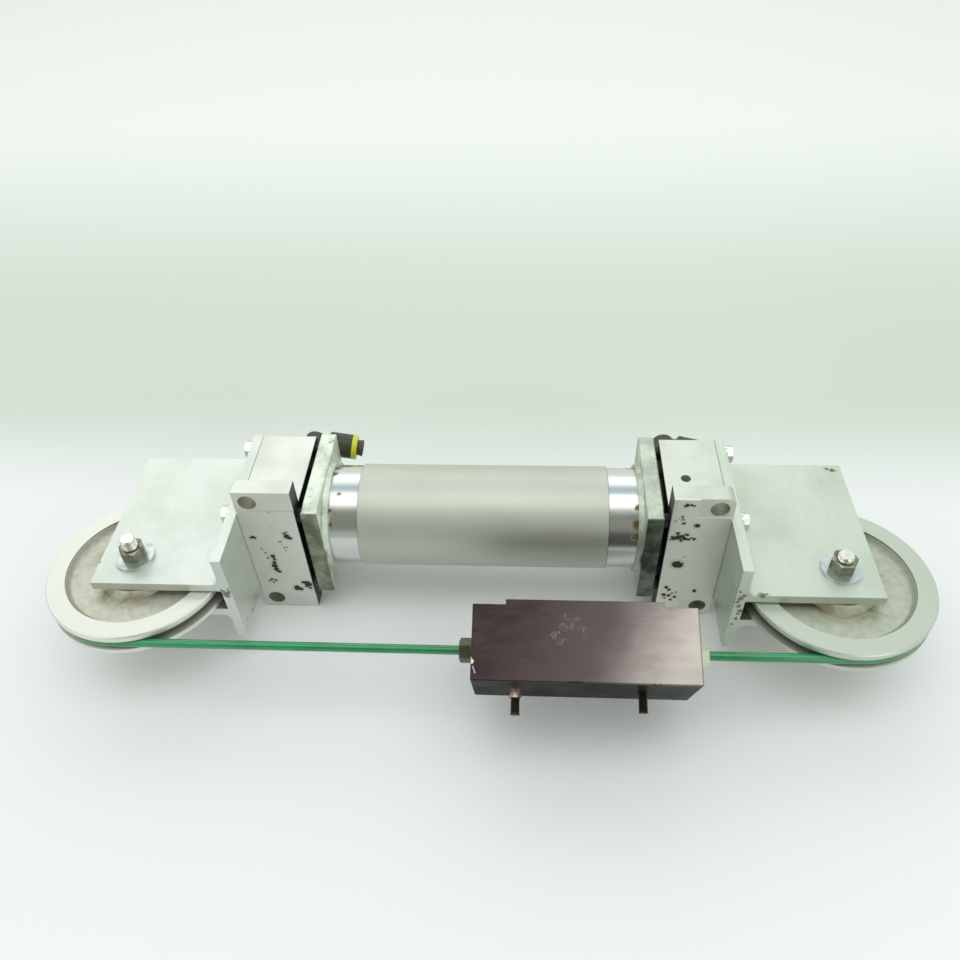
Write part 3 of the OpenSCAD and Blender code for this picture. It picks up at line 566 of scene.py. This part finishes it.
def sheaveMaterial(side, finish):
    material, tree, shader = newMaterial(f"{side}Sheave")
    centre = joints[f"{side}_sheave_turn"]["pos_m"]
    low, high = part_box(f"{side}_sheave")
    outer = (high.y - low.y) / 2
    rimInner = outer - sheaveZones["rimWidth"] * mm
    point = placed(tree, objectPoint(tree), place=tuple(centre))
    flat = vectorMaths(tree, "MULTIPLY", point, (1, 1, 0))
    radius = vectorMaths(tree, "LENGTH", flat, output="Value")
    level = offsetOf(tree, point, "Z")
    local = placed(tree, point, place=finish["seed"])
    rings = noise1(tree, radius, 2600)
    cast = noise(tree, local, 210, 5, 0.6)
    cloud = noise(tree, local, 38, 4, 0.6, 0.8)
    onRim = remap(tree, radius, rimInner - 0.4 * mm, rimInner + 0.2 * mm)
    rim = mixed(tree, remap(tree, rings, 0.35, 0.75, 0, 0.25), finish["rim"], sheaveMarks["rings"])
    rim = mixed(tree, remap(tree, cloud, 0.62, 0.78, 0, 0.3), rim, sheaveMarks["rimStain"])
    web = mixed(tree, remap(tree, cast, 0.35, 0.7, 0, 0.35), finish["web"], sheaveMarks["cast"])
    nearHub = remap(tree, radius, (sheaveZones["hub"] + 14) * mm, sheaveZones["hub"] * mm)
    stain = product(tree, nearHub, remap(tree, cloud, 0.45, 0.66, 0, 0.6))
    web = mixed(tree, stain, web, sheaveMarks["hubStain"])
    # painted shade towards the inside corner between web and rim
    corner = remap(tree, radius, rimInner - 3.5 * mm, rimInner - 0.5 * mm)
    web = mixed(tree, product(tree, corner, 0.45), web, sheaveMarks["corner"])
    colour = mixed(tree, onRim, web, rim)
    # painted shade in the cable groove
    groove = outer - sheaveZones["groove"] * mm
    inGroove = product(tree, remap(tree, level, 4.6 * mm, 3.6 * mm),
                       remap(tree, radius, groove, outer - 0.3 * mm, 1, 0.5), onRim)
    colour = mixed(tree, product(tree, inGroove, 0.9), colour, sheaveMarks["groove"])
    height = mixed(tree, onRim, cast, rings)
    setShader(tree, shader, colour=colour, metal=blended(tree, inGroove, 0.8, 0.2),
              rough=blended(tree, onRim, 0.56, 0.44), normal=bump(tree, height, 0.02 * mm, 0.6))
    return material


for side, finish in sheaveFinish.items():
    finishNode(f"{side}_sheave", sheaveMaterial(side, finish))
print("sheaves are finished")

metalFinish = {
    "zincSteel": {"colour": tone(228, 230, 224), "dark": tone(208, 209, 199), "rough": 0.22, "scale": 120},
    "plainWasher": {"colour": tone(200, 209, 208), "dark": tone(186, 193, 190), "rough": 0.30, "scale": 160},
    "plainNut": {"colour": tone(140, 141, 121), "dark": tone(98, 97, 76), "rough": 0.30, "scale": 240},
    # painted shade for the thread roots and the ridges' undersides
    "threadShade": {"colour": tone(104, 104, 92), "dark": tone(70, 70, 56), "rough": 0.40, "scale": 240},
    "bearingSteel": {"colour": tone(188, 188, 186), "dark": tone(120, 118, 108), "rough": 0.22, "scale": 220},
    "terminalSteel": {"colour": tone(160, 158, 146), "dark": tone(100, 96, 80), "rough": 0.38, "scale": 260},
    "pistonMetal": {"colour": tone(200, 202, 200), "dark": tone(170, 172, 168), "rough": 0.32, "scale": 120},
    "bushBronze": {"colour": tone(176, 140, 84), "dark": tone(120, 88, 44), "rough": 0.36, "scale": 160},
    "nickelBrass": {"colour": tone(196, 194, 180), "dark": tone(150, 140, 108), "rough": 0.28, "scale": 200},
    # near black: oil on the studs together with painted shade
    "oiledShadedStud": {"colour": tone(62, 56, 50), "dark": tone(34, 30, 28), "rough": 0.34, "scale": 260},
    "copperCollar": {"colour": tone(206, 180, 166), "dark": tone(186, 146, 130), "rough": 0.2, "scale": 300},
}


def metalMaterial(name, finish):
    material, tree, shader = newMaterial(name)
    point = objectPoint(tree)
    cloud = noise(tree, point, finish["scale"], 4, 0.6)
    fine = noise(tree, point, finish["scale"] * 9, 2)
    colour = mixed(tree, remap(tree, cloud, 0.42, 0.72), finish["colour"], finish["dark"])
    rough = remap(tree, cloud, 0.3, 0.7, finish["rough"] - 0.05, finish["rough"] + 0.12)
    setShader(tree, shader, colour=colour, metal=0.95, rough=rough, normal=bump(tree, fine, 0.003 * mm, 0.4))
    return material


metals = {name: metalMaterial(name, finish) for name, finish in metalFinish.items()}
metalNodes = {
    "zincSteel": ["bracket_bolts", "spring_washers", "hub_spacers"],
    "plainWasher": ["axle_washers"],
    "plainNut": ["axle_nuts"],
    "bearingSteel": ["left_inner_races", "right_inner_races", "left_outer_races", "right_outer_races",
                     "left_bearing_balls", "right_bearing_balls"],
    "terminalSteel": ["left_terminal", "right_terminal", "left_cable_socket", "right_cable_socket"],
    "bushBronze": ["left_gland_bush", "right_gland_bush"],
    "nickelBrass": ["left_elbow_stem", "right_elbow_stem"],
    "pistonMetal": ["piston"],
    "copperCollar": ["stud_collar"],
}
for finish, names in metalNodes.items():
    for name in names:
        finishNode(name, metals[finish])

nutFinish = {"left": tone(104, 104, 84), "right": tone(240, 242, 212), "pit": tone(84, 80, 46),
             "reach": 10 * mm}


def terminalNutMaterial():
    material, tree, shader = newMaterial("terminalNut")
    point = objectPoint(tree)
    low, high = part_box("terminal_nuts")
    middle = (low.x + high.x) / 2
    reach = nutFinish["reach"]
    onRight = remap(tree, axisOf(tree, point, "X"), middle - reach, middle + reach)
    cloud = noise(tree, point, 300, 4, 0.6)
    colour = mixed(tree, onRight, nutFinish["left"], nutFinish["right"])
    colour = mixed(tree, remap(tree, cloud, 0.58, 0.70, 0, 0.7), colour, nutFinish["pit"])
    setShader(tree, shader, colour=colour, metal=0.8, rough=remap(tree, cloud, 0.3, 0.7, 0.28, 0.5),
              normal=bump(tree, cloud, 0.05 * mm, 0.5))
    return material


nutMaterial = terminalNutMaterial()
finishNode("terminal_nuts", nutMaterial)
finishNode("terminal_washers", nutMaterial)
print("bolts, nuts and bearings are finished")

plasticFinish = {
    "blackRubber": {"colour": tone(34, 34, 34), "rough": 0.7, "scale": 300, "dust": 0.15},
    "brownNylon": {"colour": tone(120, 92, 66), "rough": 0.5, "scale": 200, "dust": 0.1},
    "blackPlastic": {"colour": tone(54, 55, 48), "rough": 0.42, "scale": 420, "dust": 0.25},
    "limePlastic": {"colour": tone(206, 208, 46), "rough": 0.38, "scale": 300, "dust": 0.12},
    "amberPlastic": {"colour": tone(196, 176, 62), "rough": 0.42, "scale": 260, "dust": 0.4},
}
plasticDust = tone(128, 126, 100)


def plasticMaterial(name, finish):
    material, tree, shader = newMaterial(name)
    point = objectPoint(tree)
    cloud = noise(tree, point, finish["scale"], 4)
    dust = remap(tree, noise(tree, point, 90, 3), 0.45, 0.75, 0, finish["dust"])
    colour = mixed(tree, dust, finish["colour"], plasticDust)
    rough = remap(tree, cloud, 0.3, 0.7, finish["rough"] - 0.06, finish["rough"] + 0.1)
    setShader(tree, shader, colour=colour, rough=rough, normal=bump(tree, cloud, 0.02 * mm, 0.4))
    return material


plastics = {name: plasticMaterial(name, finish) for name, finish in plasticFinish.items()}
plasticNodes = {
    "blackRubber": [f"{side}_{part}" for side in ("left", "right")
                    for part in ("tube_seal", "face_seal", "gland_seal", "wiper", "piston_seal")],
    "brownNylon": ["wear_ring"],
    "blackPlastic": ["left_elbow", "right_elbow", "left_collet"],
    "limePlastic": ["left_release_ring", "right_release_ring"],
    "amberPlastic": ["right_collet"],
}
for finish, names in plasticNodes.items():
    for name in names:
        finishNode(name, plastics[finish])
print("seals and elbows are finished")

carriageFinish = {
    "lean": 22.5,  # degrees
    "endX": 65 * mm, "edgeY": -22 * mm,  # the dark edges of the top face
    # dark, middle and pale run along the top from the left end to the right: a painted sheen on the purple-brown
    # anodising
    "dark": tone(50, 41, 40),
    "middle": tone(86, 76, 76),
    "pale": tone(184, 176, 170),
    "bare": tone(214, 206, 186),
    # the front face is near black, its dark anodising with painted shade, and paler towards the right end as a
    # painted reflection
    "front": tone(8, 8, 8),
    "side": tone(56, 50, 50),
    "shadedFrontPale": tone(64, 66, 62),
    "smear": tone(100, 80, 86),
    "rubbed": tone(170, 160, 158),
    "edge": tone(44, 36, 36),
    "scuff": tone(160, 150, 146),
    "dent": tone(20, 19, 18),
    "scuffs": [
        (-17, 5, 26, 2.2), (-14, 1, 26, 1.8), (-12, 9, 26, 2.4), (-11, 14.5, 26, 1.8),
        (-8, 10, 26, 2.2), (-5.5, 13, 26, 2.4), (-2, 9, 26, 2.0), (0, 4, 26, 1.4), (32, 14, 26, 1.8),
        (36, 16, 26, 2.2), (40, 18, 26, 1.8), (44, 15, 26, 2.0), (46, 19, 26, 1.6), (33, 9, 26, 1.6),
        (38, 5, 26, 1.6),
    ],
    "chips": [(-64.6, -11.4, 26, 1.4), (-65, -9.5, 25.5, 0.9)],
    "dents": [
        (-9.5, -22.1, 25.8, 0.9), (-7.5, -22.1, 25.6, 1.1), (-5, -22.1, 25.4, 1.2),
        (-2.5, -22.1, 25.6, 1.0), (-9, -22.1, 3.5, 1.3), (-6.5, -22.1, 3, 1.5), (-4, -22.1, 3.4, 1.2),
        (38, -22.1, 25.6, 0.9), (41, -22.1, 25.6, 0.8),
    ],
    "scratch": [
        (-63.6, -14.5, 26, 0.4), (-63.3, -15.3, 26, 0.4), (-63.0, -16.1, 26, 0.4),
        (-62.7, -16.9, 26, 0.4), (-62.4, -17.7, 26, 0.4),
    ],
}


def carriageMaterial():
    material, tree, shader = newMaterial("anodisedPaintedSheen")
    lean = math.radians(carriageFinish["lean"])
    local = placed(tree, objectPoint(tree), place=carriageCentre, turn=(-lean, 0, 0))
    across = axisOf(tree, local, "X")
    cloud = noise(tree, local, 26, 5, 0.6, 0.5)
    fine = noise(tree, local, 700, 3)
    smear = noise(tree, placed(tree, local, scale=(1, 2.4, 1)), 44, 5, 0.62)
    rubbed = noise(tree, placed(tree, local, turn=(0, 0, 0.3), scale=(1, 14, 1)), 70, 3, 0.6)
    # painted sheen: the top grows paler towards the right end
    drift = product(tree, maths(tree, "SUBTRACT", cloud, 0.5), 22 * mm)
    fall = product(tree, axisOf(tree, local, "Y"), -0.45)
    sheenPosition = maths(tree, "ADD", maths(tree, "ADD", across, fall), drift)
    toSheenMiddle = remap(tree, sheenPosition, -62 * mm, 14 * mm)
    toSheenPale = remap(tree, sheenPosition, 4 * mm, 66 * mm)
    colour = mixed(tree, toSheenMiddle, carriageFinish["dark"], carriageFinish["middle"])
    colour = mixed(tree, toSheenPale, colour, carriageFinish["pale"])
    smeared = product(tree, remap(tree, smear, 0.35, 0.7, 0, 0.3), blended(tree, toSheenPale, 1, 0.4))
    colour = mixed(tree, smeared, colour, carriageFinish["smear"])
    colour = mixed(tree, remap(tree, rubbed, 0.55, 0.75, 0, 0.04), colour, carriageFinish["rubbed"])
    fromEnd = maths(tree, "ABSOLUTE", maths(tree, "SUBTRACT", across, carriageFinish["endX"]))
    fromFront = maths(tree, "ABSOLUTE", maths(tree, "SUBTRACT", axisOf(tree, local, "Y"),
                                              carriageFinish["edgeY"]))
    toEdge = maths(tree, "MINIMUM", fromEnd, fromFront)
    colour = mixed(tree, remap(tree, toEdge, 1.0 * mm, 0.2 * mm, 0, 0.6), colour, carriageFinish["edge"])
    onTop = remap(tree, axisOf(tree, local, "Z"), carriageTop - 1.6 * mm, carriageTop - 0.6 * mm)
    # painted shade on the front face, with a painted reflection growing paler towards the right end
    toFrontReflection = remap(tree, across, 0, 66 * mm, 0, 0.55)
    side = mixed(tree, toFrontReflection, carriageFinish["front"], carriageFinish["shadedFrontPale"])
    frontShadingMask = remap(tree, axisOf(tree, local, "Y"), carriageFront + 1.4 * mm, carriageFront + 0.6 * mm)
    side = mixed(tree, frontShadingMask, carriageFinish["side"], side)
    colour = mixed(tree, onTop, side, colour)
    scuffPoint = ragged(tree, local, 6 * mm, 300)
    streak = noise(tree, placed(tree, local, turn=(0, 0, 0.5), scale=(5, 1, 1)), 420, 3, 0.6)
    scuff = product(tree, markMask(tree, scuffPoint, carriageFinish["scuffs"], 0.5),
                    remap(tree, streak, 0.50, 0.60))
    colour = mixed(tree, product(tree, scuff, 0.5), colour, carriageFinish["scuff"])
    chip = markMask(tree, ragged(tree, local, 0.8 * mm, 700), carriageFinish["chips"], 0.15)
    scratch = markMask(tree, local, carriageFinish["scratch"], 0.3)
    dents = markMask(tree, ragged(tree, local, 1.2 * mm, 500), carriageFinish["dents"], 0.3)
    colour = mixed(tree, product(tree, dents, 0.8), colour, carriageFinish["dent"])
    bare = maths(tree, "MAXIMUM", chip, scratch)
    colour = mixed(tree, bare, colour, carriageFinish["bare"])
    worn = maths(tree, "ADD", maths(tree, "MAXIMUM", bare, dents), product(tree, scuff, 0.5))
    height = maths(tree, "SUBTRACT", product(tree, fine, 0.1), worn)
    setShader(tree, shader, colour=colour, metal=blended(tree, onTop, 0.0, 0.6),
              level=blended(tree, onTop, 0.04, 0.12), rough=remap(tree, smear, 0.3, 0.7, 0.34, 0.44),
              normal=bump(tree, height, 0.08 * mm, 0.6))
    return material


carriageLow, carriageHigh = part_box("carriage_block")
cableLine = (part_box("left_terminal")[0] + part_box("left_terminal")[1]) / 2
carriageCentre = ((carriageLow.x + carriageHigh.x) / 2, cableLine.y, cableLine.z)
leanTurn = Matrix.Rotation(math.radians(-carriageFinish["lean"]), 3, "X")
carriageCorners = [leanTurn @ (vertex.co - Vector(carriageCentre))
                   for vertex in nodes["carriage_block"].data.vertices]
carriageTop = max(corner.z for corner in carriageCorners)
carriageFront = min(corner.y for corner in carriageCorners)
finishNode("carriage_block", carriageMaterial())
print("carriage is finished")


def addPiece(name, work, materials, node, body):
    # turns a bmesh into a piece that stands for a CAD node and moves with a body
    bmesh.ops.remove_doubles(work, verts=work.verts, dist=weld)
    bmesh.ops.recalc_face_normals(work, faces=work.faces)
    mesh = bpy.data.meshes.new(name)
    work.to_mesh(mesh)
    work.free()
    for material in materials:
        mesh.materials.append(material)
    piece = bpy.data.objects.new(name, mesh)
    bpy.context.scene.collection.objects.link(piece)
    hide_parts(node)
    if body:
        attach(piece, body)
    return piece


def lathe(work, outline, matrix, steps=48):
    # spins an outline of (radius, height) points round Z, then puts it in place
    before = set(work.verts)
    points = [work.verts.new((radius, 0, height)) for radius, height in outline]
    edges = [work.edges.new(pair) for pair in zip(points, points[1:])]
    bmesh.ops.spin(work, geom=points + edges, cent=(0, 0, 0), axis=(0, 0, 1), angle=math.tau, steps=steps,
                   use_merge=True)
    fresh = [vertex for vertex in work.verts if vertex not in before]
    bmesh.ops.remove_doubles(work, verts=fresh, dist=weld)
    fresh = [vertex for vertex in work.verts if vertex not in before]
    bmesh.ops.transform(work, matrix=matrix, verts=fresh)


def threadOutline(radius, start, end, pitch, depth):
    # ridges of a thread, from start up to a turned-off tip at end
    outline = []
    height = start
    while height + pitch < end - depth:
        outline += [(radius, height), (radius, height + 0.15 * pitch), (radius - depth, height + 0.5 * pitch),
                    (radius - depth, height + 0.6 * pitch)]
        height += pitch
    return outline + [(radius, height), (radius, end - depth), (radius - depth, end), (0, end)]


def hexHead(work, across, low, high, matrix, bevel):
    # hexagon whose outer corners are turned off
    corner = across / math.sqrt(3)
    made = bmesh.ops.create_cone(work, segments=6, radius1=corner, radius2=corner, depth=high - low,
                                 cap_ends=True)
    verts = made["verts"]
    bmesh.ops.translate(work, verts=verts, vec=(0, 0, (low + high) / 2))
    rim = [edge for edge in {edge for vertex in verts for edge in vertex.link_edges}
           if all(abs(vertex.co.z - low) < nearly for vertex in edge.verts)]
    made = bmesh.ops.bevel(work, geom=rim, offset=bevel, affect="EDGES", segments=2, profile=0.5,
                           material=-1)
    bmesh.ops.transform(work, matrix=matrix, verts=list(set(verts + made["verts"]) & set(work.verts)))


axleBolt = {"across": 14.3, "pitch": 1.5875, "depth": 0.75, "bevel": 0.7, "inNut": 1}  # mm


def makeAxleBolts():
    work = bmesh.new()
    corners = [vertex.co for vertex in nodes["axle_bolts"].data.vertices]
    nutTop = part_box("axle_nuts")[1].z
    headSeat = -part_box("axle_washers")[1].z
    for side in (-1, 1):
        centre = joints["left_sheave_turn" if side < 0 else "right_sheave_turn"]["pos_m"]
        mine = [corner for corner in corners if corner.x * side > 0]
        low, high = min(corner.z for corner in mine), max(corner.z for corner in mine)
        radius = max(math.hypot(corner.x - centre[0], corner.y - centre[1]) for corner in mine
                     if corner.z > nutTop + nearly)
        place = Matrix.Translation((centre[0], centre[1], 0))
        outline = [(0, headSeat), (radius, headSeat)]
        outline += threadOutline(radius, nutTop - axleBolt["inNut"] * mm, high, axleBolt["pitch"] * mm,
                                 axleBolt["depth"] * mm)
        lathe(work, outline, place)
        hexHead(work, axleBolt["across"] * mm, low, headSeat, place, axleBolt["bevel"] * mm)
        bmesh.ops.recalc_face_normals(work, faces=work.faces)
        # painted shade: the thread roots and the downward faces of the ridges take the darker metal
        root = radius - 0.9 * axleBolt["depth"] * mm
        for face in work.faces:
            reach = min(math.hypot(corner.co.x - centre[0], corner.co.y - centre[1]) for corner in face.verts)
            if 0.5 * root < reach < root and face.normal.z < 0.3 and face.calc_center_median().z > nutTop:
                face.material_index = 1
    return addPiece("axleBolts", work, [metals["zincSteel"], metals["threadShade"]], "axle_bolts", "cylinder")


makeAxleBolts()

stud = {"pitch": 0.9, "depth": 0.4, "rootGrip": 11.5, "collar": 5.2, "plain": 0.5}  # mm


def makeStuds():
    work = bmesh.new()
    leaning = Matrix.Rotation(math.radians(carriageFinish["lean"]), 4, "X")
    outward = leaning @ Matrix.Rotation(math.radians(90), 4, "X")  # +Z now points out of the front face
    flat = (leaning.to_3x3()).transposed()
    local = [flat @ (vertex.co - Vector(carriageCentre))
             for vertex in nodes["carriage_studs"].data.vertices]
    middle = sum(place.x for place in local) / len(local)
    for side in (-1, 1):
        mine = [place for place in local if (place.x - middle) * side > 0]
        x = (min(place.x for place in mine) + max(place.x for place in mine)) / 2
        tip, root = min(place.y for place in mine), max(place.y for place in mine)
        rootRadius = (max(place.x for place in mine) - min(place.x for place in mine)) / 2
        radius = max(math.hypot(place.x - x, place.z) for place in mine if place.y < tip + nearly)
        face = root - stud["rootGrip"] * mm  # the block's front
        step = face - (stud["collar"] * mm if side < 0 else 0)
        outline = [(0, -root), (rootRadius, -root), (rootRadius, -step), (radius, -step)]
        outline += threadOutline(radius, -step + stud["plain"] * mm, -tip, stud["pitch"] * mm,
                                 stud["depth"] * mm)
        place = Matrix.Translation(Vector(carriageCentre)) @ outward @ Matrix.Translation((x, 0, 0))
        lathe(work, outline, place, 32)
    return addPiece("carriageStuds", work, [metals["oiledShadedStud"]], "carriage_studs", "carriage")


makeStuds()
print("threads are cut")

cableFinish = {"jacket": tone(34, 140, 84), "shade": tone(26, 122, 70), "pale": tone(84, 168, 120),
               "sides": 32, "rings": 64}


def cableMaterial():
    material, tree, shader = newMaterial("greenJacket")
    point = objectPoint(tree)
    cloud = noise(tree, placed(tree, point, scale=(0.3, 1, 1)), 90, 3)
    scuffs = noise(tree, placed(tree, point, scale=(0.2, 1, 1)), 700, 3)
    colour = mixed(tree, remap(tree, cloud, 0.35, 0.7), cableFinish["jacket"], cableFinish["shade"])
    colour = mixed(tree, remap(tree, scuffs, 0.6, 0.75, 0, 0.35), colour, cableFinish["pale"])
    setShader(tree, shader, colour=colour, rough=0.18, coat=0.6, coatRough=0.06,
              normal=bump(tree, scuffs, 0.004 * mm, 0.3))
    return material


def makeRun(name, node):
    # one straight run of the cable, between the cylinder and a moving body
    low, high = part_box(node)
    centre, radius = (low + high) / 2, (high.z - low.z) / 2
    work = bmesh.new()
    bmesh.ops.create_cone(work, segments=cableFinish["sides"], radius1=radius, radius2=radius,
                          depth=high.x - low.x, cap_ends=True)
    bmesh.ops.rotate(work, verts=work.verts, matrix=Matrix.Rotation(math.radians(90), 3, "Y"))
    bmesh.ops.translate(work, verts=work.verts, vec=centre)
    step = (high.x - low.x) / cableFinish["rings"]
    for ring in range(1, cableFinish["rings"]):
        everything = work.verts[:] + work.edges[:] + work.faces[:]
        bmesh.ops.bisect_plane(work, geom=everything, plane_co=(low.x + ring * step, 0, 0),
                               plane_no=(1, 0, 0))
    for face in work.faces:
        face.smooth = len(face.verts) == 4
    run = addPiece(name, work, [jacket], node, None)
    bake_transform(run)
    return run


jacket = cableMaterial()
for side in ("left", "right"):
    finishNode(f"{side}_cable_wrap", jacket)
makeRun("leftFrontRun", "left_cable_front")
makeRun("rightFrontRun", "right_cable_front")
makeRun("leftInnerRun", "left_cable_inner")
makeRun("rightInnerRun", "right_cable_inner")
print("cable is made")
